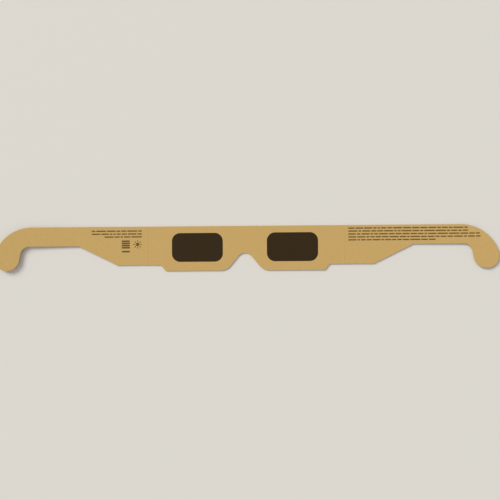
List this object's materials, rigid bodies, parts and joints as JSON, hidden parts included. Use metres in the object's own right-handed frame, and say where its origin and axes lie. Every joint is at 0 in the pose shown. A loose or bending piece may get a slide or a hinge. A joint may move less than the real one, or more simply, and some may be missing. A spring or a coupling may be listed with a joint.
{
  "type": "eclipse glasses",
  "caption": "Folding card glasses with dark solar filter films in two windows, a nose notch, and temples that fold at pressed creases and end in ear hooks.",
  "frame": {"origin": "centre of the unfolded outline, on the surface that the glasses lie on", "axes": "+X along the glasses towards the wearer's right, +Y from the nose notch to the brow edge, +Z out of the wearer's side"},
  "size_m": [0.379, 0.0336, 0.0038],
  "materials": {
    "card": "matte",
    "adhesive": "satin",
    "filter_film": "gloss"
  },
  "bodies": {
    "front": {"front_outer_card": "card", "front_bond": "adhesive", "front_inner_card": "card", "left_filter_glue": "adhesive", "right_filter_glue": "adhesive", "left_filter_film": "filter_film", "right_filter_film": "filter_film", "left_crease_outer_card": "card", "left_crease_bond": "adhesive", "left_crease_inner_card": "card", "right_crease_outer_card": "card", "right_crease_bond": "adhesive", "right_crease_inner_card": "card"},
    "left_temple": {"left_temple_outer_card": "card", "left_temple_bond": "adhesive", "left_temple_inner_card": "card"},
    "right_temple": {"right_temple_outer_card": "card", "right_temple_bond": "adhesive", "right_temple_inner_card": "card"}
  },
  "joints": [
    {"name": "left_fold", "type": "hinge", "parent": "front", "child": "left_temple", "pos_m": [-0.074, 0, 0.00092], "axis": [0, 1, 0], "range_deg": [0, 178], "deforming": ["left_crease_outer_card", "left_crease_bond", "left_crease_inner_card"]},
    {"name": "right_fold", "type": "hinge", "parent": "front", "child": "right_temple", "pos_m": [0.074, 0, 0.00092], "axis": [0, -1, 0], "range_deg": [0, 175], "deforming": ["right_crease_outer_card", "right_crease_bond", "right_crease_inner_card"]}
  ]
}
